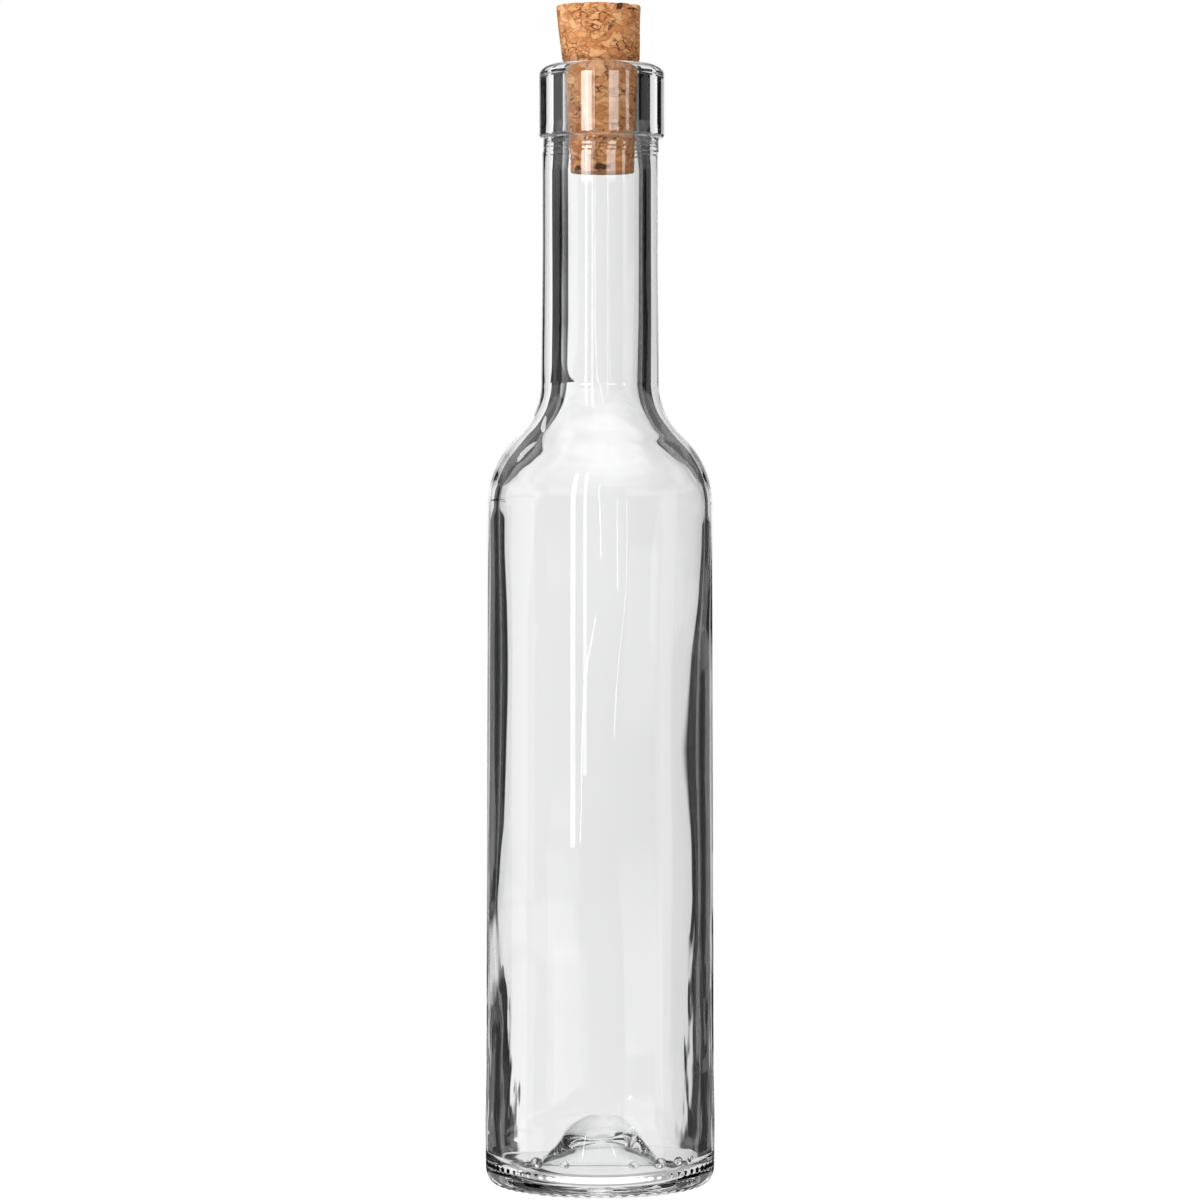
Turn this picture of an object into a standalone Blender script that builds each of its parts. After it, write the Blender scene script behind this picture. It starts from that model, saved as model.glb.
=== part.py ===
"""A slim clear-glass bottle with a tapered cork stopper, for Blender 4.5.

The bottle is two solids. The glass is one turned shell, open at the mouth, with a
pushed-up floor under it. The cork is a tapered plug, squeezed by the mouth and
bulging a little above it, and it draws straight up out of the bore.

Lengths are in metres and +Z is up. The origin is the middle of the flat ring that
the bottle stands on. The cork's own origin is on its axis, at the height of the lip.
"""

import math

import bpy

MM = 0.001

# Outside of the glass, from the mouth down
GLASS_HEIGHT = 276.3 * MM
LIP_DROP = 2.85 * MM
RING_TOP_RADIUS = 15.43 * MM
RING_LOW_RADIUS = 15.35 * MM
RING_HEIGHT = 18.4 * MM
RING_UNDER_ROUNDING = 0.9 * MM
COLLAR_RADIUS = 14.1 * MM
COLLAR_HEIGHT = 2.5 * MM
COLLAR_BLEND = 1.5 * MM
NECK_RADIUS = 14.3 * MM
NECK_LOW_RADIUS = 14.65 * MM
NECK_LENGTH = 60.3 * MM
NECK_STRAIGHT_LENGTH = 33.0 * MM
NECK_FILLET_RADIUS = 17.7 * MM
SHOULDER_RADIUS = 22.7 * MM
BODY_RADIUS = 27.7 * MM
BODY_LOW_RADIUS = 28.25 * MM
HEEL_BAND_RADIUS = 28.5 * MM
HEEL_BAND_TOP = 28.0 * MM
HEEL_BAND_MIDDLE = 15.0 * MM
HEEL_HEIGHT = 4.0 * MM
HEEL_DEPTH = 2.6 * MM
HEEL_DRAW_IN = 0.1 * MM

# The floor, pushed up into a dome, and the flat ring round it
PUNT_RADIUS = 21.5 * MM
PUNT_RISE = 12.5 * MM
FLOOR_THICKNESS = 4.2 * MM
FLOOR_CORNER_RADIUS = 4.6 * MM
FLOOR_DOME_GAIN = 0.4 * MM
BELL_POWER = 1.3

# Inside of the glass
BODY_WALL = 3.7 * MM
HEEL_WALL = 4.2 * MM
MOUTH_BORE_RADIUS = 9.2 * MM
MOUTH_BORE_LENGTH = 20.0 * MM
MOUTH_EDGE_RADIUS = 0.7 * MM
BORE_WIDENING = 1.0 * MM
BORE_BLEND = 9.0 * MM

# The cork, by what it adds to the bore that squeezes it
CORK_LENGTH = 41.2 * MM
CORK_STAND = 14.1 * MM
CORK_CLEARANCE = 0.3 * MM
CORK_TAPER = 1.05 * MM
CORK_BULGE = 0.7 * MM
CORK_BULGE_HEIGHT = 1.1 * MM
CORK_SPREAD = 1.5 * MM
CORK_EDGE_RADIUS = 0.5 * MM

# How finely the shapes are turned
SEGMENTS = 48
DOME_STEPS = 6
ARC_STEPS = 5
SHOULDER_STEPS = 6
ROUNDING_STEPS = 3
WELD = 0.01 * MM

GLASS_COLOUR = (0.93, 0.95, 0.94, 1.0)
CORK_COLOUR = (0.70, 0.47, 0.29, 1.0)

# Heights that follow from the sizes above
RING_LOW = GLASS_HEIGHT - RING_HEIGHT
COLLAR_LOW = RING_LOW - COLLAR_HEIGHT
NECK_LOW = RING_LOW - NECK_LENGTH
NECK_BORE_RADIUS = MOUTH_BORE_RADIUS + BORE_WIDENING
LIP_CREST_RADIUS = MOUTH_BORE_RADIUS + MOUTH_EDGE_RADIUS


def arc(centre, radii, start, end, steps):
    """Points along an arc of an ellipse. Angles are in degrees from the outward direction."""
    points = []
    for step in range(steps + 1):
        angle = math.radians(start + (end - start) * step / steps)
        reach = centre[0] + radii[0] * math.cos(angle)
        height = centre[1] + radii[1] * math.sin(angle)
        points.append((reach, height))
    return points


def bell(radius, low, rise):
    """A dome from the axis out to radius, level at the top and running out level at its foot."""
    points = []
    for step in range(DOME_STEPS + 1):
        share = step / DOME_STEPS
        lift = math.cos(math.pi / 2 * share**BELL_POWER) ** 2
        points.append((radius * share, low + rise * lift))
    return points


def shoulder_angle(wide, narrow, convex, concave):
    """The angle at which a shoulder arc hands over to the neck fillet that is tangent to it."""
    return math.acos(1 - (wide - narrow) / (convex + concave))


def shoulder(wide, narrow, convex, concave, low):
    """The two arcs from the body's radius at height low up to the neck's radius."""
    angle = math.degrees(shoulder_angle(wide, narrow, convex, concave))
    high = low + (convex + concave) * math.sin(math.radians(angle))
    rounded = arc((wide - convex, low), (convex, convex), 0, angle, SHOULDER_STEPS)
    fillet = arc((narrow + concave, high), (concave, concave), 180 + angle, 180, SHOULDER_STEPS)
    return rounded + fillet[1:]


def glass_inside(shoulder_low):
    """From the middle of the floor up to the mouth's edge."""
    wall_low = HEEL_BAND_RADIUS - HEEL_WALL
    wall_top = BODY_RADIUS - BODY_WALL
    corner = (FLOOR_CORNER_RADIUS, FLOOR_CORNER_RADIUS)
    corner_centre = (wall_low - FLOOR_CORNER_RADIUS, FLOOR_THICKNESS + FLOOR_CORNER_RADIUS)
    mouth_low = GLASS_HEIGHT - MOUTH_BORE_LENGTH
    points = bell(corner_centre[0], FLOOR_THICKNESS, PUNT_RISE + FLOOR_DOME_GAIN)
    points += arc(corner_centre, corner, -90, 0, ROUNDING_STEPS)[1:]
    points += shoulder(
        wall_top,
        NECK_BORE_RADIUS,
        SHOULDER_RADIUS - BODY_WALL,
        NECK_FILLET_RADIUS + BODY_WALL,
        shoulder_low,
    )
    points.append((NECK_BORE_RADIUS, mouth_low - BORE_BLEND))
    points.append((MOUTH_BORE_RADIUS, mouth_low))
    return points


def glass_mouth():
    """Over the lip and down the ring and the collar under it."""
    edge = (MOUTH_EDGE_RADIUS, MOUTH_EDGE_RADIUS)
    dome = (RING_TOP_RADIUS - LIP_CREST_RADIUS, LIP_DROP)
    under = (RING_UNDER_ROUNDING, RING_UNDER_ROUNDING)
    under_centre = (RING_LOW_RADIUS - RING_UNDER_ROUNDING, RING_LOW + RING_UNDER_ROUNDING)
    points = arc((LIP_CREST_RADIUS, GLASS_HEIGHT - MOUTH_EDGE_RADIUS), edge, 180, 90, ROUNDING_STEPS)
    points += arc((LIP_CREST_RADIUS, GLASS_HEIGHT - LIP_DROP), dome, 90, 0, ARC_STEPS)[1:]
    points += arc(under_centre, under, 0, -90, ROUNDING_STEPS)
    points.append((COLLAR_RADIUS, RING_LOW))
    points.append((COLLAR_RADIUS, COLLAR_LOW))
    return points


def glass_outside(shoulder_low):
    """Down the neck, the shoulder and the body to the ring that the bottle stands on."""
    neck_top = COLLAR_LOW - COLLAR_BLEND
    heel_centre = (HEEL_BAND_RADIUS - HEEL_DRAW_IN - HEEL_DEPTH, HEEL_HEIGHT)
    points = [(NECK_RADIUS, neck_top), (NECK_RADIUS, neck_top - NECK_STRAIGHT_LENGTH)]
    points += reversed(
        shoulder(BODY_RADIUS, NECK_LOW_RADIUS, SHOULDER_RADIUS, NECK_FILLET_RADIUS, shoulder_low)
    )
    points.append((BODY_LOW_RADIUS, HEEL_BAND_TOP))
    points.append((HEEL_BAND_RADIUS, HEEL_BAND_MIDDLE))
    points += arc(heel_centre, (HEEL_DEPTH, HEEL_HEIGHT), 0, -90, ARC_STEPS)
    points += reversed(bell(PUNT_RADIUS, 0, PUNT_RISE))
    return points


def glass_profile():
    spread = SHOULDER_RADIUS + NECK_FILLET_RADIUS
    angle = shoulder_angle(BODY_RADIUS, NECK_LOW_RADIUS, SHOULDER_RADIUS, NECK_FILLET_RADIUS)
    shoulder_low = NECK_LOW - spread * math.sin(angle)
    return glass_inside(shoulder_low) + glass_mouth() + glass_outside(shoulder_low)


def cork_profile():
    """From the middle of the top to the middle of the underside, with heights from the lip."""
    squeezed = MOUTH_BORE_RADIUS - CORK_CLEARANCE
    top = squeezed + CORK_SPREAD
    low = squeezed - CORK_TAPER
    underside = CORK_STAND - CORK_LENGTH
    round_lip = MOUTH_EDGE_RADIUS + CORK_CLEARANCE
    edge = (CORK_EDGE_RADIUS, CORK_EDGE_RADIUS)
    points = [(0, CORK_STAND)]
    points += arc((top - CORK_EDGE_RADIUS, CORK_STAND - CORK_EDGE_RADIUS), edge, 90, 0, ROUNDING_STEPS)
    points.append((squeezed + CORK_BULGE, CORK_BULGE_HEIGHT))
    points += arc((LIP_CREST_RADIUS, -MOUTH_EDGE_RADIUS), (round_lip, round_lip), 135, 180, ROUNDING_STEPS)
    points += arc((low - CORK_EDGE_RADIUS, underside + CORK_EDGE_RADIUS), edge, 0, -90, ROUNDING_STEPS)
    points.append((0, underside))
    return points


def material(name, colour, roughness, transmission):
    made = bpy.data.materials.new(name)
    made.use_nodes = True
    shader = made.node_tree.nodes["Principled BSDF"]
    shader.inputs["Base Color"].default_value = colour
    shader.inputs["Roughness"].default_value = roughness
    shader.inputs["Metallic"].default_value = 0.0
    shader.inputs["Transmission Weight"].default_value = transmission
    made.diffuse_color = colour
    return made


def turned(name, profile, finish):
    """A closed solid turned about Z from a profile whose two ends are on the axis."""
    mesh = bpy.data.meshes.new(name)
    points = [(reach, 0, height) for reach, height in profile]
    edges = [(step, step + 1) for step in range(len(points) - 1)]
    mesh.from_pydata(points, edges, [])
    mesh.materials.append(finish)
    made = bpy.data.objects.new(name, mesh)
    bpy.context.scene.collection.objects.link(made)
    screw = made.modifiers.new("turn", "SCREW")
    screw.steps = SEGMENTS
    screw.render_steps = SEGMENTS
    screw.use_merge_vertices = True
    screw.merge_threshold = WELD
    screw.use_smooth_shade = True
    return made


for leftover in list(bpy.data.objects):
    bpy.data.objects.remove(leftover)

glass = turned("glass_bottle", glass_profile(), material("clear_glass", GLASS_COLOUR, 0.02, 1.0))
cork = turned("cork_stopper", cork_profile(), material("pressed_cork", CORK_COLOUR, 0.85, 0.0))
cork.parent = glass
cork.location = (0, 0, GLASS_HEIGHT)
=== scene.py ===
# %% [markdown]
# # A corked bottle of clear glass
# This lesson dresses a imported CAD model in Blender: a slim bottle of clear glass and the
# cork in its mouth. Clear glass has no look of its own. It shows what stands round it,
# bent and mirrored, so most of the work is in three things: the exact thickness of the
# wall, the studio that the glass looks at, and the small faults that a mould leaves.
# Lengths are in metres and +Z is up. The origin is the middle of the ring that the
# bottle stands on, and the camera looks along +Y.

# %% Load the CAD model
import math

import bpy
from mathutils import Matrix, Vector, noise


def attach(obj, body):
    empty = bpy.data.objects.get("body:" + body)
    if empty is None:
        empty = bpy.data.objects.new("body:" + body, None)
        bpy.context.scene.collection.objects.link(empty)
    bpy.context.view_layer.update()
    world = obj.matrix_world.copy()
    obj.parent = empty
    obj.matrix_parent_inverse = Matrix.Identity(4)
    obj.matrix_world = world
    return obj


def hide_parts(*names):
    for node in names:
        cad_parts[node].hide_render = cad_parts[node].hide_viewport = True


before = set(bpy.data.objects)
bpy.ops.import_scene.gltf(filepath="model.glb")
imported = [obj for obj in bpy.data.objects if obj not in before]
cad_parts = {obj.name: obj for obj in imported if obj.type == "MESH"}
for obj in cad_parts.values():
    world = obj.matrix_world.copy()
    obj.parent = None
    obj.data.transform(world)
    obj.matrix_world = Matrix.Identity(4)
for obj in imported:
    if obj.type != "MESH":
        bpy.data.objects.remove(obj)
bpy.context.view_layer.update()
MM = 0.001
scene = bpy.context.scene
scene.view_settings.view_transform = "Standard"
scene.cycles.max_bounces = 32
scene.cycles.transmission_bounces = 32
scene.cycles.glossy_bounces = 16

# %% [markdown]
# ## The camera
# A product photograph of a bottle is taken from far away with a long lens, so that the
# neck and the heel are seen nearly square on. The distance and the height come from the
# outline: the lip curves up, the heel curves down, and only one height of the lens gives
# both. The image is square, and the bottle fills its height.

# %% Camera
CAMERA_PLACE = (0.12 * MM, -1080 * MM, 186.2 * MM)
CAMERA_TILT = 2.2245
CAMERA_LENS = 131.25
camera = bpy.data.objects.new("camera", bpy.data.cameras.new("camera"))
scene.collection.objects.link(camera)
camera.location = CAMERA_PLACE
camera.rotation_euler = (math.radians(90 - CAMERA_TILT), 0, 0)
camera.data.lens = CAMERA_LENS
scene.camera = camera
print("camera sees", round(math.degrees(camera.data.angle), 2), "degrees across")

# %% [markdown]
# ## Shader arithmetic
# A pattern in a shader is a formula, and a formula is easier to read as one. This class
# wraps an output socket. Python's own operators on it add the Math nodes that they stand
# for, and one method adds any other node: first its settings, then what its sockets take.


# %% A socket that can be calculated with
class Wire:
    """An output socket of a node tree, on which Python's operators work."""

    def __init__(self, tree, socket=None):
        self.tree = tree
        self.socket = socket

    def node(self, kind, settings=None, inputs=None, output=0):
        """Adds a node and gives its output, with settings and inputs by name or number."""
        added = self.tree.nodes.new(kind)
        for name, setting in (settings or {}).items():
            if name == "stops":
                fill_ramp(added.color_ramp, setting)
            else:
                setattr(added, name, setting)
        for name, given in (inputs or {}).items():
            if isinstance(given, Wire):
                self.tree.links.new(given.socket, added.inputs[name])
            else:
                added.inputs[name].default_value = given
        return Wire(self.tree, added.outputs[output] if added.outputs else None)

    def math(self, operation, *given):
        """One Math node on the values given, or on this one alone."""
        inputs = dict(enumerate(given or (self,)))
        return self.node("ShaderNodeMath", {"operation": operation}, inputs)

    def __add__(self, other):
        return self.math("ADD", self, other)

    def __radd__(self, other):
        return self.math("ADD", other, self)

    def __sub__(self, other):
        return self.math("SUBTRACT", self, other)

    def __rsub__(self, other):
        return self.math("SUBTRACT", other, self)

    def __mul__(self, other):
        return self.math("MULTIPLY", self, other)

    def __truediv__(self, other):
        return self.math("DIVIDE", self, other)

    def __neg__(self):
        return self.math("MULTIPLY", self, -1)

    def step(self, low, high):
        """Rises smoothly from 0 at low to 1 at high. With high below low it falls."""
        settings = {"interpolation_type": "SMOOTHSTEP"}
        inputs = {"Value": self, "From Min": low, "From Max": high}
        return self.node("ShaderNodeMapRange", settings, inputs)

    def mix(self, first, second):
        """A colour between two, with this value as the share of the second."""
        inputs = {0: self, 6: first, 7: second}
        return self.node("ShaderNodeMix", {"data_type": "RGBA"}, inputs, output=2)

    def axes(self):
        """The three numbers of this vector."""
        apart = self.node("ShaderNodeSeparateXYZ", inputs={0: self}).socket.node
        return [Wire(self.tree, socket) for socket in apart.outputs]


def fill_ramp(ramp, stops):
    """Sets a colour ramp to these places and colours, of which it always keeps the first."""
    while len(ramp.elements) > 1:
        ramp.elements.remove(ramp.elements[-1])
    ramp.elements[0].position, ramp.elements[0].color = stops[0]
    for place, colour in stops[1:]:
        ramp.elements.new(place).color = colour


def grey(level):
    return (level, level, level, 1)


# %% [markdown]
# ## The studio
# Glass on white is lit from behind. A white field stands behind the bottle and black
# flags stand on both sides of it, just out of view. Through the middle of the bottle
# the eye meets the field. Near its edges the wall bends the view so far round that it
# meets the flags, and this draws the dark outline without which white glass on white
# would vanish. Because the bottle is looked at from several sides, each of those sides
# has its own field and flags here. They are part of the world's colour by direction,
# seen by rays that come out of the glass or off it. The lens itself sees plain white,
# and cork and floor are lit by a plain even white, so that no colour is falsified.

# %% World
# Levels of light, and the elevations in degrees between which each one comes in
ROOM_LIGHT = 0.8
ROOM_IN_GLASS = 0.06
CEILING_IN_GLASS, CEILING_EDGE = 0.65, (34, 38)
TABLE_IN_GLASS, TABLE_EDGE = 0.80, (-9.8, -11.8)
TABLE_SHADE, SHADE_BAND, SHADE_SOFT = 0.40, (-50, -31), 2.5
STEEP_IN_GLASS, STEEP_EDGE = 0.45, (-50, -56)
world = bpy.data.worlds.new("studio")
scene.world = world
world.use_nodes = True
tree = world.node_tree
tree.nodes.clear()
start = Wire(tree)


def window(value, low, high, soft):
    """1 between low and high, falling off over soft on both sides."""
    return value.step(low - soft, low + soft) * value.step(high + soft, high - soft)


direction = start.node("ShaderNodeTexCoord", output=0)
east, north, up = direction.axes()
elevation = up.math("ARCSINE") * math.degrees(1)
ceiling = elevation.step(*CEILING_EDGE) * CEILING_IN_GLASS
table = elevation.step(*TABLE_EDGE) * TABLE_IN_GLASS
table = table - window(elevation, *SHADE_BAND, SHADE_SOFT) * TABLE_SHADE
steep = elevation.step(*STEEP_EDGE) * STEEP_IN_GLASS
room = ceiling + table + steep + ROOM_IN_GLASS


# %% [markdown]
# Each field is a little brighter on the left than on the right. The difference shows
# inside the glass from edge to edge, and gives it its roundness. The body has a thin wall
# for its width and looks only a little aside through it, and the neck has a thick wall
# and looks far aside. So the field is narrow where the body looks and wide where the neck
# does, and each of them gets a dark band along its edge.

# %% Fields and flags
FIELD_LEVEL, FIELD_FALL = 0.945, 0.0075
FIELD_DIM, FIELD_DIM_EDGE = 0.3, (22, 28)
HALF_AT_BODY = 11
NECK_ADDS, NECK_EDGE = 13.5, (-2.4, 0)
SHOULDER_TAKES, SHOULDER_EDGE = 18, (12, 20)
FLAG_DARK, FLAG_DARK_HIGH, FLAG_EDGE = 0.03, 0.007, (-2, 2)
FLAG_GREY_TOP, FLAG_GREY_EDGE = 0.11, (9.5, 14)
EDGE_SOFT = 1.2
NO_FIELD = -40
# The azimuth of the middle of each field, where 180 is behind the bottle, how far its
# flags reach to the left and right, the lowest elevation of both, the highest of the
# field, the highest of the flags, and how much wider it is than the front's field on each
# side. The last has flags only, and they darken the left edge of the neck.
FIELDS = [
    (225, 74, 36, -36, -16, -16, 10),
    (45, 74, 74, -25, -6, 4, 10),
    (180, 110, 110, -12, 60, 60, 0),
    (270, 74, 45, -12, 60, 60, 0),
    (257, 22, 22, 1.2, 1.2, 3.3, NO_FIELD),
]


def bearing(facing):
    """How far to the right of this azimuth a ray goes, in degrees."""
    turn = math.radians(facing)
    ahead = east * math.sin(turn) - north * math.cos(turn)
    aside = east * -math.cos(turn) - north * math.sin(turn)
    return aside.math("ARCTAN2", aside, ahead) * math.degrees(1)


half = HALF_AT_BODY + elevation.step(*NECK_EDGE) * NECK_ADDS
half = half - elevation.step(*SHOULDER_EDGE) * SHOULDER_TAKES
flag_level = FLAG_DARK - elevation.step(*FLAG_EDGE) * (FLAG_DARK - FLAG_DARK_HIGH)
flag_level = flag_level + elevation.step(*FLAG_GREY_EDGE) * FLAG_GREY_TOP
for facing, left, right, low, high, flags_high, wider in FIELDS:
    off = bearing(facing)
    flags = window(off, -left, right, EDGE_SOFT) * window(elevation, low, flags_high, 1)
    field = window(off, -half - wider, half + wider, EDGE_SOFT) * window(elevation, low, high, 1)
    white = FIELD_LEVEL - off * FIELD_FALL - elevation.step(*FIELD_DIM_EDGE) * FIELD_DIM
    room = room * (1 - flags) + flags * flag_level
    room = room * (1 - field) + field * white

# %% [markdown]
# High up, beside the lens, hang three narrow lamps that only the ring and the top of the
# neck mirror. Over the white field they would hardly show, but in front of the cork they
# are broad pale bands. A small window far round to the left is the bright oval on the
# shoulder. Only rays that the outside of the glass mirrors see any of them. Light that
# has been scattered by the cork or the floor sees the plain room, through glass too.

# %% Lamps that the ring and the shoulder mirror
# From and to how far right of the lens each lamp hangs, and how bright it is
HIGH_LAMPS = [(-38, -18, 13), (13, 31, 7), (45, 51, 6)]
HIGH_LAMPS_BAND, HIGH_LAMPS_SOFT = (3.3, 5.0), (1.5, 0.12)
# The window is a tilted oval: its middle, its tilt as a cosine and a sine, its half sizes
WINDOW_PLACE, WINDOW_TILT, WINDOW_SIZE = (-54, 36), (0.64, 0.77), (9.5, 5)
WINDOW_LEVEL, WINDOW_EDGE = 6, (1.1, 0.8)
rays = tree.nodes.new("ShaderNodeLightPath")
through = Wire(tree, rays.outputs["Is Transmission Ray"])
across = -bearing(0)
height = window(elevation, *HIGH_LAMPS_BAND, HIGH_LAMPS_SOFT[1])
mirrored = 0
for low, high, level in HIGH_LAMPS:
    mirrored = window(across, low, high, HIGH_LAMPS_SOFT[0]) * height * level + mirrored
back = bearing(180) - WINDOW_PLACE[0]
rise = elevation - WINDOW_PLACE[1]
along = (back * WINDOW_TILT[0] + rise * WINDOW_TILT[1]) / WINDOW_SIZE[0]
beside = (back * WINDOW_TILT[1] - rise * WINDOW_TILT[0]) / WINDOW_SIZE[1]
oval = (along * along + beside * beside).step(*WINDOW_EDGE)
mirrored = mirrored + oval * WINDOW_LEVEL
room = room + (1 - through) * mirrored
to_camera = Wire(tree, rays.outputs["Is Camera Ray"])
in_glass = Wire(tree, rays.outputs["Is Glossy Ray"])
in_glass = in_glass.math("MAXIMUM", in_glass, through)
scattered = Wire(tree, rays.outputs["Diffuse Depth"])
in_glass = in_glass * scattered.math("LESS_THAN", scattered, 0.5)
seen = in_glass * room + (1 - in_glass) * ROOM_LIGHT
seen = to_camera + (1 - to_camera) * seen
sky = start.node("ShaderNodeBackground", inputs={"Color": grey(1), "Strength": seen})
start.node("ShaderNodeOutputWorld", inputs={"Surface": sky})
print("world nodes", len(tree.nodes))

# %% [markdown]
# ## Lamps
# Two tall strips on the left of the lens draw the two white streaks down the front. The
# bottle mirrors them at half their angle, so a strip 27 degrees to the left shows a
# quarter of the way to the edge. A third strip is seen only through the glass, and gives
# the fine streaks beside them. The foot of a strip sets where its streak ends. Two soft
# lamps, one overhead and one on the left, light the cork, and give the bottle a soft
# shadow on the floor.


# %% Lamps
AIM = Vector((0, 0, 0.14))
STRIP_FOOT, STRIP_HEIGHT = 0.0335, 0.95


def lamp(name, azimuth, elevation_of, distance, size, radiance, mirrored, seen_through):
    """A flat lamp facing the bottle, given by where it stands and how bright its face is."""
    light = bpy.data.lights.new(name, "AREA")
    light.shape = "RECTANGLE"
    light.size, light.size_y = size
    light.energy = radiance * math.pi * size[0] * size[1]
    lit = bpy.data.objects.new(name, light)
    scene.collection.objects.link(lit)
    turn, rise = math.radians(azimuth), math.radians(elevation_of)
    away = Vector(
        (math.sin(turn) * math.cos(rise), -math.cos(turn) * math.cos(rise), math.sin(rise))
    )
    lit.location = AIM + away * distance
    lit.rotation_euler = (-away).to_track_quat("-Z", "Y").to_euler()
    lit.visible_camera = False
    lit.visible_transmission = seen_through
    lit.visible_glossy = mirrored
    return lit


def strip(name, azimuth, width, radiance, foot, mirrored, seen_through):
    """A tall upright strip lamp one metre from the bottle, from its foot upwards."""
    lit = lamp(name, azimuth, 0, 1.0, (width, STRIP_HEIGHT), radiance, mirrored, seen_through)
    lit.location.z = foot + STRIP_HEIGHT / 2


strip("strip_left", -27.2, 0.092, 4.2, 0.0, True, False)
strip("strip_left_inner", -15.0, 0.062, 4.2, STRIP_FOOT, True, False)
strip("strip_through", -19.5, 0.022, 8.0, STRIP_FOOT, False, True)
lamp("soft_top", -20, 72, 1.4, (1.0, 1.0), 1.6, False, False)
lamp("soft_front", -38, 34, 1.3, (0.5, 0.5), 11, False, False)

# %% [markdown]
# ## The floor
# A plain pale floor. To the lens it is white, plus what light falls on it, so that only
# the bottle's shadow is darker than white. Away from the bottle it turns into the same
# plain white as the background, and no horizon shows. The glass and its reflections look
# at the studio instead of the floor, as they would if the table were a narrow shelf.

# %% Floor
FLOOR_HALF = 4.0
FLOOR_NEAR, FLOOR_FAR = 0.10, 0.40
FLOOR_DROP = 0.02 * MM
PAPER, PAPER_TO_LENS, PAPER_GLOW = 0.8, 0.45, 0.62
bpy.ops.object.select_all(action="DESELECT")
bpy.ops.mesh.primitive_plane_add(size=2 * FLOOR_HALF, location=(0, 0, -FLOOR_DROP))
floor = bpy.context.active_object
floor.name = "floor"
paper = bpy.data.materials.new("floor_paper")
paper.use_nodes = True
tree = paper.node_tree
tree.nodes.clear()
start = Wire(tree)
place = start.node("ShaderNodeTexCoord", output=3)
reach = place.node("ShaderNodeVectorMath", {"operation": "LENGTH"}, {0: place}, output=1)
far = reach.step(FLOOR_NEAR, FLOOR_FAR)
to_camera = start.node("ShaderNodeLightPath", output=0)
matt = start.node("ShaderNodeBsdfDiffuse", inputs={"Color": grey(PAPER)})
dim = start.node("ShaderNodeBsdfDiffuse", inputs={"Color": grey(PAPER_TO_LENS)})
glow = start.node("ShaderNodeEmission", inputs={"Color": grey(1), "Strength": PAPER_GLOW})
white = start.node("ShaderNodeEmission", inputs={"Color": grey(1), "Strength": 1})
near_white = start.node("ShaderNodeAddShader", inputs={0: dim, 1: glow})
to_lens = start.node("ShaderNodeMixShader", inputs={0: far, 1: near_white, 2: white})
both = start.node("ShaderNodeMixShader", inputs={0: to_camera, 1: matt, 2: to_lens})
start.node("ShaderNodeOutputMaterial", inputs={"Surface": both})
floor.data.materials.append(paper)
floor.visible_transmission = False
floor.visible_glossy = False
print("floor", tuple(round(side, 2) for side in floor.dimensions))

# %% [markdown]
# ## Drawing a turned piece
# Glass is blown into a mould and cork is turned on a lathe, and both are round about one
# axis. So both start from a profile, drawn point by point from the axis out and back. A
# plane is merged to a single point, the point is extruded along the profile, and the
# line is spun round Z. Curves are arcs of ellipses, drawn fine enough for their facets
# not to show in what the glass bends.


# %% Profiles
WELD = 0.002 * MM


def arc(centre, radii, start_angle, end_angle, steps):
    """Points along an arc of an ellipse. Angles are in degrees from the outward direction."""
    points = []
    for step in range(steps + 1):
        angle = math.radians(start_angle + (end_angle - start_angle) * step / steps)
        reach = centre[0] + radii[0] * math.cos(angle)
        points.append((reach, centre[1] + radii[1] * math.sin(angle)))
    return points


def line(start_point, end_point, steps):
    """Points along a straight line, without its first one."""
    points = []
    for step in range(1, steps + 1):
        share = step / steps
        points.append(tuple(a + (b - a) * share for a, b in zip(start_point, end_point)))
    return points


def plain(start_point, end_point, steps, gap=0.08):
    """A line with extra points close to both ends, so that it is shaded flat between them."""
    length = math.dist(start_point, end_point)
    shares = [gap / length] + [step / steps for step in range(1, steps)] + [1 - gap / length, 1]
    return [
        tuple(a + (b - a) * share for a, b in zip(start_point, end_point)) for share in shares
    ]


def bell(radius, low, rise, power, steps):
    """A dome from the axis out, level at the top and running out level at its foot."""
    points = []
    for step in range(steps + 1):
        share = step / steps
        lift = math.cos(math.pi / 2 * share**power) ** 2
        points.append((radius * share, low + rise * lift))
    return points


def shoulder(wide, narrow, convex, concave, low, steps, foot=0, crease=4):
    """Two arcs that touch, from the body's radius up to the neck's radius.

    The upper one meets the neck at a small angle, as where two parts of a mould meet, and
    the lower one may meet the body at a small angle too.
    """
    angle = math.acos(1 - (wide - narrow) / (convex + concave))
    high = low + (convex + concave) * math.sin(angle)
    turn = math.degrees(angle)
    end = (narrow, high - concave * math.tan(math.radians(crease / 2)))
    rounded = arc((wide - convex, low), (convex, convex), foot, turn, steps)
    if foot:
        start = (wide, low + convex * math.tan(math.radians(foot / 2)))
        rounded = [start] + plain(start, rounded[0], 1)[:-2] + rounded
    centre = (narrow + concave, high)
    fillet = arc(centre, (concave, concave), 180 + turn, 180 + crease, steps)
    return rounded + fillet[1:] + plain(fillet[-1], end, 1)[1:]


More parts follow.
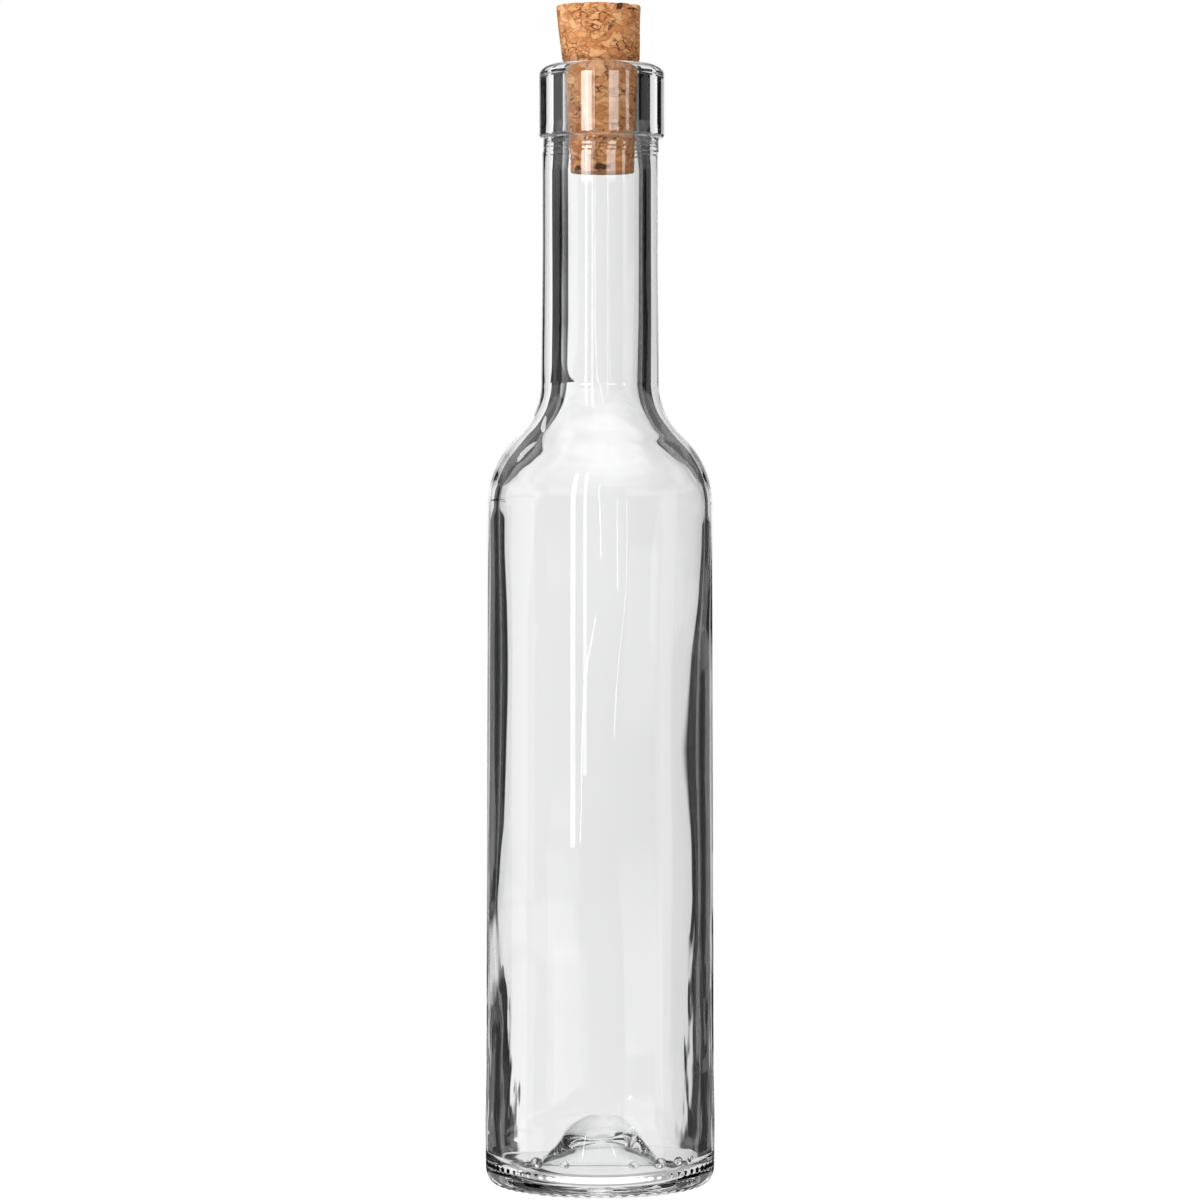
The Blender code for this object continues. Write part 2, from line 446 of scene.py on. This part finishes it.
def turned(name, profile, segments):
    """A closed piece spun round Z from a profile in millimetres whose ends are on the axis."""
    points = [Vector((reach * MM, 0, height * MM)) for reach, height in profile]
    bpy.ops.object.select_all(action="DESELECT")
    bpy.ops.mesh.primitive_plane_add(size=MM, location=(0, 0, 0))
    piece = bpy.context.active_object
    piece.name = piece.data.name = name
    bpy.ops.object.mode_set(mode="EDIT")
    bpy.ops.mesh.select_all(action="SELECT")
    bpy.ops.mesh.merge(type="CENTER")
    bpy.ops.transform.translate(value=points[0])
    for here, there in zip(points, points[1:]):
        bpy.ops.mesh.extrude_region_move(TRANSFORM_OT_translate={"value": there - here})
    bpy.ops.object.mode_set(mode="OBJECT")
    screw = piece.modifiers.new("turn", "SCREW")
    screw.steps = screw.render_steps = segments
    screw.use_merge_vertices = True
    screw.merge_threshold = WELD
    bpy.ops.object.modifier_apply(modifier=screw.name)
    bpy.ops.object.mode_set(mode="EDIT")
    bpy.ops.mesh.select_all(action="SELECT")
    bpy.ops.mesh.normals_make_consistent(inside=False)
    bpy.ops.object.mode_set(mode="OBJECT")
    bpy.ops.object.shade_smooth()
    print(name, "from", len(points), "points:", len(piece.data.polygons), "faces")
    return piece


# %% [markdown]
# ## The glass
# The wall of a blown bottle is thickest at the heel, where the hot glass met the cold
# mould first. The bore is wider below the mouth than in it. Under the floor the glass is
# pushed up into a dome. These are the CAD model's sizes, drawn more finely. Only the
# floor is thinner, which gives the bright crescent low in the heel, and the neck's radius
# differs by a tenth of a millimetre.

# %% The inside
GLASS_HEIGHT = 276.3
RING_LOW = 257.9
SHOULDER_LOW = 167.87
BORE, NECK_BORE, BODY_BORE = 9.2, 10.0, 24.0
BLEND_LOW, BLEND_HIGH = 250, 262
LIP_ROUND = 0.7
FLOOR_RADIUS, FLOOR_THICKNESS, FLOOR_RISE = 19.7, 2.6, 14.5
CORNER_HEIGHT, CORNER_RADII = 7.7, (4.6, 5.1)
WALL_FOOT, WALL_BEND = (24.3, 7.7), (24.17, 77)
BELL_POWER = 1.3
FLOOR_STEPS, CORNER_STEPS, SHOULDER_STEPS = 18, 8, 15
inside = bell(FLOOR_RADIUS, FLOOR_THICKNESS, FLOOR_RISE, BELL_POWER, FLOOR_STEPS)
inside += arc((FLOOR_RADIUS, CORNER_HEIGHT), CORNER_RADII, -90, 0, CORNER_STEPS)[1:]
shoulder_inside = shoulder(BODY_BORE, NECK_BORE, 19.0, 21.4, SHOULDER_LOW, SHOULDER_STEPS)
inside += plain(WALL_FOOT, WALL_BEND, 28)[:-2] + line(WALL_BEND, shoulder_inside[0], 15)
inside += shoulder_inside[1:]
inside += plain(inside[-1], (NECK_BORE, BLEND_LOW), 7)
inside += plain(inside[-1], (BORE, BLEND_HIGH), 5)
inside += plain(inside[-1], (BORE, GLASS_HEIGHT - LIP_ROUND), 5)
print("inside", len(inside), "points")

# %% [markdown]
# The outside goes from the lip down the ring, over the collar with its faint grooves,
# and down to the heel. The grooves and the fine step under them are where the parts of
# the mould met. Down the neck the glass swells a little before it turns out into the
# shoulder. All of it has to be smooth, because the slightest bend shows in what it mirrors.

# %% The ring, the collar and the neck
LIP_CREST, LIP_DROP = 9.9, 2.85
RING_RADIUS, RING_ROUND = 15.41, 0.9
COLLAR_RADIUS, NECK_RADIUS = 14.25, 14.2
# The height and the depth of each groove
COLLAR_GROOVES = [(256.55, 0.13), (255.5, 0.16)]
MOULD_JOINT = 254.45
NECK_SWELL, NECK_SWELL_TOP, NECK_STEPS = 0.28, 234, 8
mouth = arc((LIP_CREST, GLASS_HEIGHT - LIP_ROUND), (LIP_ROUND,) * 2, 180, 90, 5)[1:]
mouth += arc((LIP_CREST, GLASS_HEIGHT - LIP_DROP), (5.51, LIP_DROP), 90, 0, 12)[1:]
mouth += plain((RING_RADIUS, GLASS_HEIGHT - LIP_DROP), (RING_RADIUS, RING_LOW + RING_ROUND), 4)
mouth += arc((14.51, RING_LOW + RING_ROUND), (RING_ROUND,) * 2, 0, -90, 6)[1:]
outside = [(COLLAR_RADIUS, RING_LOW), (COLLAR_RADIUS, RING_LOW - 0.08)]
for height, depth in COLLAR_GROOVES:
    for above in (0.2, 0.13, 0, -0.13, -0.2):
        outside.append((COLLAR_RADIUS - (0 if above else depth), height + above))
outside += [(COLLAR_RADIUS, MOULD_JOINT + 0.2), (COLLAR_RADIUS, MOULD_JOINT + 0.12)]
outside.append((NECK_RADIUS, MOULD_JOINT - 0.12))
outside += plain(outside[-1], (NECK_RADIUS, NECK_SWELL_TOP), 4)
shoulder_outside = shoulder(
    27.7, 14.5, 22.7, 17.7, SHOULDER_LOW, SHOULDER_STEPS, foot=4, crease=1
)
neck_end = shoulder_outside[-1][1]
for step in range(1, NECK_STEPS):
    share = step / NECK_STEPS
    height = NECK_SWELL_TOP + (neck_end - NECK_SWELL_TOP) * share
    outside.append((NECK_RADIUS + NECK_SWELL * share * share * (3 - 2 * share), height))
outside += reversed(shoulder_outside)
print("outside down to the shoulder", len(mouth) + len(outside), "points")

# %% [markdown]
# The body widens a little towards the heel, as a blown bottle does so that it leaves its
# mould. Then the profile turns in under the heel to the flat ring that the bottle stands
# on, and up the dome to the axis. Spun round, it is one closed skin with an inside and an
# outside, which is what a shader for glass needs to know where the glass is.

# %% The body, the heel and the underside
HEEL_INNER, HEEL_RADII = 25.8, (2.6, 4.0)
PUNT_RADIUS, PUNT_RISE = 21.5, 12.5
GLASS_SEGMENTS = 336
# Corners of the outline down the body to the heel, and the steps from each to the next
BODY = [((28.25, 28), 4), ((28.5, 15), 2), ((28.46, 10.2), 11), ((28.43, 6.4), 1)]
BODY_END = (28.42, 5.0)
outside += plain(shoulder_outside[0], BODY[0][0], 7)
corners = [corner for corner, steps in BODY] + [BODY_END]
for (corner, steps), next_corner in zip(BODY, corners[1:]):
    outside += line(corner, next_corner, steps)
heel = arc((HEEL_INNER, HEEL_RADII[1]), HEEL_RADII, 0, -90, 12)
standing = line((HEEL_INNER, 0), (PUNT_RADIUS, 0), 6)
punt = list(reversed(bell(PUNT_RADIUS, 0, PUNT_RISE, BELL_POWER, FLOOR_STEPS)))[1:]
glass_profile = inside + mouth + outside + heel + standing + punt
glass = turned("bottle_glass", glass_profile, GLASS_SEGMENTS)

# %% [markdown]
# ## What the mould left
# Real glass is never quite even. The mould shapes the outside only. The inner wall is
# free, so its thickness wanders round the bottle and down it, and near the heel it is
# finely rippled. These small slopes bend the view far, and decide where the dark bands
# begin and how broad they are. The mouth and the bore stand a little to the right of the
# axis. All this is written as formulas by azimuth and height, because no edit-mode tool
# makes ripples.

# %% How the wall wanders
# Height, then how far the wall's inside stands out on the left of the bottle, and how
# much less it does in front and behind, and the same two for the right
WALL = [
    (250, 0, 0, 0, 0),
    (205, 0, 0, 0, 0),
    (188, -0.5, 0.1, 0.4, 0.0),
    (181, -1.0, 0.0, 0.7, 0.1),
    (176, -0.3, 0.1, 1.1, 0.2),
    (172, 0.25, 0.3, 1.5, 0.35),
    (167, 0.28, 0.5, 1.65, 0.5),
    (157, 0.1, 0.6, 1.5, 0.5),
    (145, -0.2, 0.6, 1.0, 0.52),
    (131, -0.2, 0.5, 0.1, 0.42),
    (121, -0.2, 0.5, -0.2, 0.38),
    (107, -0.1, 0.55, -0.4, 0.34),
    (92, 0.1, 0.6, -0.2, 0.4),
    (83, 0.4, 0.65, -0.1, 0.5),
    (72, 0.6, 0.7, -0.1, 0.55),
    (46, 0.4, 0.6, -0.3, 0.5),
    (34, 0.3, 0.6, -0.3, 0.45),
    (25, 0.4, 0.4, 0.0, 0.4),
    (15, 0.7, 0.4, 0.1, 0.4),
]
WALL_STEP = (46, 74)
# Low on the left the wall leans inwards, from higher up where it is nearer the front
FADE_DEPTH, FADE_LENGTH = 1.0, 30
FADE_TOP, FADE_TURN = (84, 70), (50, 86)


def smooth(value, low, high):
    share = min(max((value - low) / (high - low), 0), 1)
    return share * share * (3 - 2 * share)


def eased(share):
    """Half straight and half smooth, from 0 to 1."""
    return 0.5 * share + 0.5 * share * share * (3 - 2 * share)


def between(keys, height):
    """A smooth curve through values given at heights that fall from one key to the next."""
    if height >= keys[0][0]:
        return keys[0][1:]
    for key, below in zip(keys, keys[1:]):
        if below[0] <= height:
            share = eased((height - below[0]) / (key[0] - below[0]))
            return [b + (a - b) * share for a, b in zip(key[1:], below[1:])]
    return keys[-1][1:]


def wander(azimuth, height):
    """How far the inner wall stands from its drawn radius, in millimetres."""
    left_side, left_step, right_side, right_step = between(WALL, height)
    turn = math.radians(azimuth)
    right = smooth(math.sin(turn), -0.35, 0.35)
    side = left_side + (right_side - left_side) * right
    step = left_step + (right_step - left_step) * right
    from_front = math.degrees(math.asin(abs(math.sin(turn))))
    shift = side - step * (1 - smooth(from_front, *WALL_STEP))
    top = FADE_TOP[0] + (FADE_TOP[1] - FADE_TOP[0]) * smooth(from_front, *FADE_TURN)
    share = min(max((top - height) / FADE_LENGTH, 0), 1)
    shift -= FADE_DEPTH * eased(share) * (1 - right)
    quick = noise.noise(Vector((math.sin(turn) * 3.1 + 7, -math.cos(turn) * 3.1, height / 30)))
    return shift + 0.03 * quick


def ripple(azimuth, height):
    """The fine ripples of the inner wall, which fade above the heel."""
    turn = math.radians(azimuth)
    fine = Vector((math.sin(turn) * 9, -math.cos(turn) * 9, height / 9))
    finer = Vector((math.sin(turn) * 24, -math.cos(turn) * 24, height / 3.5))
    aside = smooth(abs(math.sin(turn)), 0.68, 0.85)
    strength = 0.017 * (1 - smooth(height, 28, 75)) + 0.002
    strength += 0.024 * aside * (1 - smooth(height, 60, 95))
    return strength * (noise.noise(fine) + 0.6 * noise.noise(finer))


def lean(height, inner):
    """How far the mouth and the bore stand to the right of the axis, in millimetres."""
    if inner:
        return 0.1 + 0.45 * smooth(height, 185, 212)
    collar = smooth(height, MOULD_JOINT - 0.1, MOULD_JOINT + 0.1)
    ring = smooth(height, RING_LOW - 0.05, RING_LOW + 0.05)
    return 0.13 + 0.21 * collar + 0.21 * ring


print("wall left and right at 100 mm", round(wander(-90, 100), 2), round(wander(90, 100), 2))

# %% [markdown]
# Under the heel is a ring of small ribs that keeps the bottle from sliding. Above it is a
# row of dots by which a machine tells one mould from another. The ribs are one cosine
# wave round the ring. A dot is a low dome with a soft foot, so that it catches the light
# without a hard edge.

# %% Ribs and dots
RIBS, RIB_DEPTH = 56, 0.17
RIB_TOP, RIB_INNER = 1.3, 21.4
# The azimuth of each dot and its radius
DOTS = [(-32.6, 1.15), (-17.5, 0.75), (16.9, 0.75), (30.5, 1.15), (42.1, 0.95), (51.0, 0.95)]
DOT_HEIGHT, DOT_RISE = 8.35, 0.45


def rib(azimuth, reach, height):
    """How far the underside is cut away here between two ribs, in millimetres."""
    if height >= RIB_TOP or reach <= RIB_INNER:
        return 0.0
    wave = 0.5 - 0.5 * math.cos(math.radians(azimuth) * RIBS)
    band = smooth(reach, RIB_INNER, RIB_INNER + 1.2) * (1 - smooth(height, 0.5, RIB_TOP))
    return RIB_DEPTH * wave * band


def dot(azimuth, reach, height):
    """How far a dot stands out here, in millimetres."""
    if abs(height - DOT_HEIGHT) >= 2 or reach <= 27:
        return 0.0
    rise = 0.0
    for place, radius in DOTS:
        across = math.radians((azimuth - place + 180) % 360 - 180) * reach
        away = math.hypot(across, height - DOT_HEIGHT) / radius
        if away < 1:
            rise += DOT_RISE * radius * (1 - away * away) ** 1.5
    return rise


print("ribs", RIBS, "dots", len(DOTS))

# %% [markdown]
# Now the points of the mesh are moved, each by what its place asks for. A point is on the
# inner wall if it is more than a millimetre inside the outline at its height.

# %% Move the points
WALL_LOW, WALL_TOP, WALL_GROWN = 9, 246, 16
THINNEST = 1


def outer_radius(height):
    """The outside's radius at this height above the heel, in millimetres."""
    for (reach, above), (next_reach, below) in zip(outside, outside[1:]):
        if below <= height <= above and above > below:
            return next_reach + (reach - next_reach) * (height - below) / (above - below)
    return outside[-1][0]


moved = 0
for vertex in glass.data.vertices:
    x, y, z = (part / MM for part in vertex.co)
    reach = math.hypot(x, y)
    if reach < 1e-4:
        continue
    azimuth = math.degrees(math.atan2(x, -y))
    inner = reach < outer_radius(z) - THINNEST
    shift = dot(azimuth, reach, z)
    if WALL_LOW < z < WALL_TOP and inner and reach > 9:
        grow = smooth(z, WALL_LOW, WALL_GROWN)
        shift += grow * (wander(azimuth, z) + ripple(azimuth, z))
    drop = rib(azimuth, reach, z)
    aside = lean(z, inner)
    if shift or drop or aside:
        scale = (reach + shift) / reach
        vertex.co = Vector((x * scale + aside, y * scale, z + drop)) * MM
        moved += 1
glass.data.update()
print("points moved", moved)

# %% [markdown]
# ## Clear glass
# One Principled shader with full transmission. Window and bottle glass bend light by
# 1.52. Rays that only ask how much lamplight arrives get a plain transparent shader
# instead, because tracing lamps through curved glass leaves grain, and the cork in the
# mouth and the floor behind would be lit by luck.

# %% Glass material
GLASS_TINT = (0.985, 0.99, 0.987, 1)
SHADOW_TINT = (0.98, 0.985, 0.98, 1)
GLASS_BENDS = 1.52
HAZE = 0.012
clear = bpy.data.materials.new("clear_glass")
clear.use_nodes = True
tree = clear.node_tree
tree.nodes.clear()
start = Wire(tree)
place = start.node("ShaderNodeTexCoord", output=3)
haze = place.node("ShaderNodeTexNoise", inputs={"Vector": place, "Scale": 90, "Detail": 2})
haze = haze.step(0.45, 0.8) * HAZE
body = start.node(
    "ShaderNodeBsdfPrincipled",
    inputs={
        "Base Color": GLASS_TINT,
        "Roughness": haze,
        "IOR": GLASS_BENDS,
        "Transmission Weight": 1,
    },
)
to_lamp = start.node("ShaderNodeLightPath", output=1)
open_way = start.node("ShaderNodeBsdfTransparent", inputs={"Color": SHADOW_TINT})
both = start.node("ShaderNodeMixShader", inputs={0: to_lamp, 1: body, 2: open_way})
start.node("ShaderNodeOutputMaterial", inputs={"Surface": both})
glass.data.materials.append(clear)
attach(glass, "bottle")
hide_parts("glass_bottle")
print("glass shader nodes", len(tree.nodes))

# %% [markdown]
# ## The cork
# The stopper is pressed from cork granules. It is turned to a slight taper, squeezed
# where the glass holds it, and swells over the lip. It stands in the bore, which is a
# little aside, and its top leans back over the axis. Its surface is a patchwork of
# granules between 1 and 4 mm across, lying mostly flat, with cracks and pits between
# them and a few chips out of the upper edge. Cracks and chips are cut into the mesh, and
# the grain on top of them is in the material.

# %% The cork's profile
LIP = GLASS_HEIGHT
CORK_SEGMENTS = 220
cork_profile = [(0, LIP + 14.1)] + line((0, LIP + 14.1), (9.9, LIP + 14.1), 24)
cork_profile += arc((9.9, LIP + 13.6), (0.5, 0.5), 90, 0, 5)[1:]
cork_profile += line((10.4, LIP + 13.6), (9.6, LIP + 1.1), 46)
cork_profile += line((9.6, LIP + 1.1), (9.19, LIP + 0.01), 4)
cork_profile += arc((9.9, LIP - 0.7), (1, 1), 135, 180, 4)[1:]
cork_profile += line((8.9, LIP - 0.7), (7.85, LIP - 26.6), 90)
cork_profile += arc((7.35, LIP - 26.6), (0.5, 0.5), 0, -90, 5)[1:]
cork_profile += line((7.35, LIP - 27.1), (0, LIP - 27.1), 18)
cork = turned("cork_plug", cork_profile, CORK_SEGMENTS)

# %% [markdown]
# A pit is where a granule broke out. Voronoi cells give the granules: near the border of
# two cells the surface sinks a little, and a few whole cells sink further. The cells are
# squashed upright, because the granules were pressed flat.

# %% Granules, pits and chips
# Without a seed, Blender's vector noise starts from the clock and differs in each run
GRANULE_SEED = 1
noise.seed_set(GRANULE_SEED)
GRANULE = Vector((2.3, 2.3, 1.25))
CRACK_DEPTH, PIT_DEPTH, ROUGH_DEPTH = 0.24, 0.16, 0.05
CORK_ASIDE, CORK_LEAN_BACK = 0.5, 0.75
# The middle of each chip, its radius and its depth
CHIPS = [
    ((8.9, -5.6, LIP + 14.3), 2.0, 0.75),
    ((4.9, -8.8, LIP + 14.2), 1.0, 0.9),
    ((-6.5, 7.9, LIP + 14.4), 1.7, 0.6),
    ((9.9, 3.0, LIP + 14.0), 1.3, 0.7),
    ((-9.9, 2.0, LIP + 13.9), 1.1, 0.5),
    ((0.5, -7.9, LIP - 26.4), 2.0, 0.3),
]


def sink(point):
    """How far the cork's skin sinks here, in millimetres."""
    at = Vector((point.x / GRANULE.x, point.y / GRANULE.y, point.z / GRANULE.z))
    at += 0.25 * noise.noise_vector(at * 0.9)
    near, middles = noise.voronoi(at)
    inwards = near[1] - near[0]
    crack = 1 - smooth(inwards, 0.0, 0.22)
    open_crack = smooth(noise.noise(point * 0.35 + Vector((3, 1, 4))), -0.1, 0.45)
    lost = smooth(noise.cell(middles[0] * 13.7), 0.80, 0.98)
    rough = 0.5 + 0.5 * noise.noise(point * 1.9)
    depth = CRACK_DEPTH * crack * open_crack + PIT_DEPTH * lost * smooth(inwards, 0, 0.3)
    return depth + ROUGH_DEPTH * rough


def cork_lean(height):
    """How far the cork stands to the right of the axis, in millimetres."""
    return CORK_ASIDE - CORK_LEAN_BACK * smooth(height, LIP - 4, LIP + 14)


normals = [vertex.normal.copy() for vertex in cork.data.vertices]
for vertex, normal in zip(cork.data.vertices, normals):
    point = vertex.co / MM
    depth = sink(point)
    for centre, radius, bite in CHIPS:
        away = (point - Vector(centre)).length + 0.35 * noise.noise(point * 1.1)
        if away < radius:
            depth += bite * (1 - (away / radius) ** 2)
    vertex.co = (point - normal * depth + Vector((cork_lean(point.z), 0, 0))) * MM
cork.data.update()
print("cork", len(cork.data.vertices), "points")

# %% [markdown]
# ## Cork grain
# Each granule has its own brown, from pale straw to red. Dark spots are painted as shade
# in three of the chips, and one more at the lower edge. Where a chip broke out the cork
# is fresh and pale.

# %% Cork colours
RUST = (0.34, 0.105, 0.028, 1)
TAN = (0.42, 0.172, 0.062, 1)
SAND = (0.50, 0.225, 0.088, 1)
STRAW = (0.58, 0.285, 0.122, 1)
PALE = (0.67, 0.375, 0.185, 1)
# The near-black of cracks and pores, also used for the dark spots painted as shade
CRACK_AND_SHADE_BROWN = (0.055, 0.018, 0.007, 1)
# Dark spots painted as shade in three of the chips, with one more at the lower edge,
# and where a chip is fresh
PAINTED_DARK_SPOTS = [
    ((4.9, -8.8, LIP + 13.5), (1.0, 1.4, 1.1)),
    ((8.4, -6.0, LIP + 12.8), (2.0, 2.0, 0.3)),
    ((0.6, -7.9, LIP - 25.9), (2.0, 2.0, 0.9)),
    ((-5.2, -5.9, LIP - 26.1), (1.0, 1.5, 0.8)),
]
FRESH_SPOTS = [((8.6, -5.8, LIP + 13.7), (2.0, 2.0, 0.7))]
pressed = bpy.data.materials.new("pressed_cork")
pressed.use_nodes = True
tree = pressed.node_tree
tree.nodes.clear()
start = Wire(tree)
place = start.node("ShaderNodeTexCoord", output=3)
print("dark spots painted in", len(PAINTED_DARK_SPOTS), "places")

# %% [markdown]
# The pattern is the same kind of Voronoi cells as in the mesh, in two sizes, with their
# coordinates pushed about by noise so that the borders aren't straight. The coordinates
# are the object's own, so the grain stays on the cork when the cork is drawn.


# %% Cells and spots
def pushed(at, frequency, amount):
    """Moves a vector about by noise of this frequency."""
    push = at.node("ShaderNodeTexNoise", inputs={"Vector": at, "Scale": frequency}, output=1)
    push = at.node("ShaderNodeVectorMath", {"operation": "SUBTRACT"}, {0: push, 1: (0.5,) * 3})
    scaled = at.node("ShaderNodeVectorMath", {"operation": "SCALE"}, {0: push, 3: amount})
    return at.node("ShaderNodeVectorMath", {"operation": "ADD"}, {0: at, 1: scaled})


def warped(at, scale, amount, squash):
    """Object coordinates in cells of this many millimetres, pushed about by noise."""
    size = (1 / scale / MM, 1 / scale / MM, squash / scale / MM)
    mapped = at.node("ShaderNodeMapping", inputs={"Vector": at, "Scale": size})
    return pushed(pushed(mapped, 0.9, amount), 3.5, amount * 0.35)


def cells(at, output, feature="F1"):
    return at.node("ShaderNodeTexVoronoi", {"feature": feature}, {"Vector": at, "Scale": 1}, output)


def noise_at(scale, detail, roughness):
    inputs = {"Vector": place, "Scale": scale, "Detail": detail, "Roughness": roughness}
    return place.node("ShaderNodeTexNoise", inputs=inputs)


def spots(at, places):
    """1 inside ragged spots at these places, of these half sizes, in millimetres."""
    torn = at.node("ShaderNodeMapping", inputs={"Vector": at, "Scale": (1 / MM,) * 3})
    torn = pushed(torn, 0.9, 1.6)
    mask = 0
    for centre, size in places:
        away = at.node("ShaderNodeVectorMath", {"operation": "SUBTRACT"}, {0: torn, 1: centre})
        away = at.node("ShaderNodeVectorMath", {"operation": "DIVIDE"}, {0: away, 1: size})
        away = at.node("ShaderNodeVectorMath", {"operation": "LENGTH"}, {0: away}, output=1)
        mask = away.step(1.15, 0.85) + mask
    return mask


# The size of the cells, how far they are warped, and how much they are pressed flat
COARSE_CELLS, FINE_CELLS = (2.9, 1.1, 1.7), (1.15, 1.0, 1.45)
coarse = warped(place, *COARSE_CELLS)
fine = warped(place, *FINE_CELLS)
hue = cells(coarse, 1).axes()
fine_hue = cells(fine, 1).axes()
border = cells(coarse, 0, "DISTANCE_TO_EDGE")
fine_border = cells(fine, 0, "DISTANCE_TO_EDGE")
patches = noise_at(170, 2, 0.5)
grain = noise_at(900, 5, 0.65)
dashes = noise_at(620, 2, 0.5)
print("pattern nodes", len(tree.nodes))

# %% [markdown]
# A granule takes its colour from a number that its cell gives. About half of the large
# cells are broken up into small ones. Inside a granule run faint streaks, and along its
# border it is painted darker and redder, as painted shade. Below the lip, inside the
# glass, the cork is painted a little paler, as painted light.

# %% The colour of the granules
# How much paler the cork is painted below the lip, as painted light inside the glass
BELOW_LIP_PAINTED_LIGHT = 0.1
STOPS = [(0.06, RUST), (0.2, TAN), (0.45, SAND), (0.7, STRAW), (0.95, PALE)]
broken = hue[2].step(0.45, 0.55)
tone = hue[0] * (1 - broken * 0.75) + fine_hue[0] * broken * 0.75
below_lip = place.axes()[2].step((LIP + 0.5) * MM, (LIP - 0.5) * MM)
# Painted light: below the lip, inside the glass, the cork is painted paler
tone = tone + below_lip * BELOW_LIP_PAINTED_LIGHT
colour = tone.node("ShaderNodeValToRGB", {"stops": STOPS}, {0: tone})
streaks = place.node("ShaderNodeMapping", inputs={"Vector": place, "Scale": (500, 500, 1500)})
streaks = streaks.node("ShaderNodeTexNoise", inputs={"Vector": streaks, "Scale": 1, "Detail": 3})
colour = (streaks.step(0.62, 0.38) * 0.35).mix(colour, TAN)
colour = (grain.step(0.56, 0.70) * 0.45).mix(colour, PALE)
# Painted shade: each granule is darker and redder along its border with the next
colour = (border.step(0.16, 0.0) * 0.45).mix(colour, RUST)
print("with colours", len(tree.nodes))

# %% [markdown]
# Where two granules meet is a thin dark line, wide and black in some places and missing
# in others. Small dark pores are scattered over it all. Each of these is a mask, and the
# strongest at a place decides how dark it is.

# %% Cracks, pores and painted dark spots
crack_here = (patches + below_lip * 0.04).step(0.42, 0.60)
crack_width = 0.03 + crack_here * grain.step(0.35, 0.7) * 0.10
crack = border.step(crack_width, crack_width * 0.3) * (0.2 + crack_here * 0.8)
crack = crack * dashes.step(0.40, 0.54)
fine_width = 0.02 + patches.step(0.45, 0.62) * grain.step(0.4, 0.7) * 0.14
fine_crack = fine_border.step(fine_width, 0.0) * broken * dashes.step(0.58, 0.46)
pores = place.node("ShaderNodeTexVoronoi", inputs={"Vector": fine, "Scale": 1.7})
pore = pores.step(0.17, 0.09) * hue[1].step(0.45, 0.5) * patches.step(0.40, 0.48)
dark = crack.math("MAXIMUM", crack * 0.85, fine_crack * 0.7)
dark = dark.math("MAXIMUM", dark, pore * 0.85)
# Dark spots painted as shade in three of the chips, and one more at the lower edge
dark = dark.math("MAXIMUM", dark, spots(place, PAINTED_DARK_SPOTS) * 0.95)
colour = (spots(place, FRESH_SPOTS) * 0.8).mix(colour, PALE)
colour = dark.mix(colour, CRACK_AND_SHADE_BROWN)
print("with cracks", len(tree.nodes))

# %% [markdown]
# Last, the grain gets a little relief, which lies on top of the pits in the mesh. Cork is
# waxy but never shiny, so it is rough with a weak sheen.

# %% Relief and finish
height = patches * 0.3 + grain * 0.5 + tone * 0.45 - dark * 1.0
bumps = start.node(
    "ShaderNodeBump", inputs={"Strength": 0.8, "Distance": 0.3 * MM, "Height": height}
)
skin = start.node(
    "ShaderNodeBsdfPrincipled",
    inputs={
        "Base Color": colour,
        "Roughness": 0.78 + grain * 0.15,
        "Specular IOR Level": 0.25,
        "Normal": bumps,
    },
)
start.node("ShaderNodeOutputMaterial", inputs={"Surface": skin})
cork.data.materials.append(pressed)
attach(cork, "cork")
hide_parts("cork_stopper")
print("cork shader nodes", len(tree.nodes))
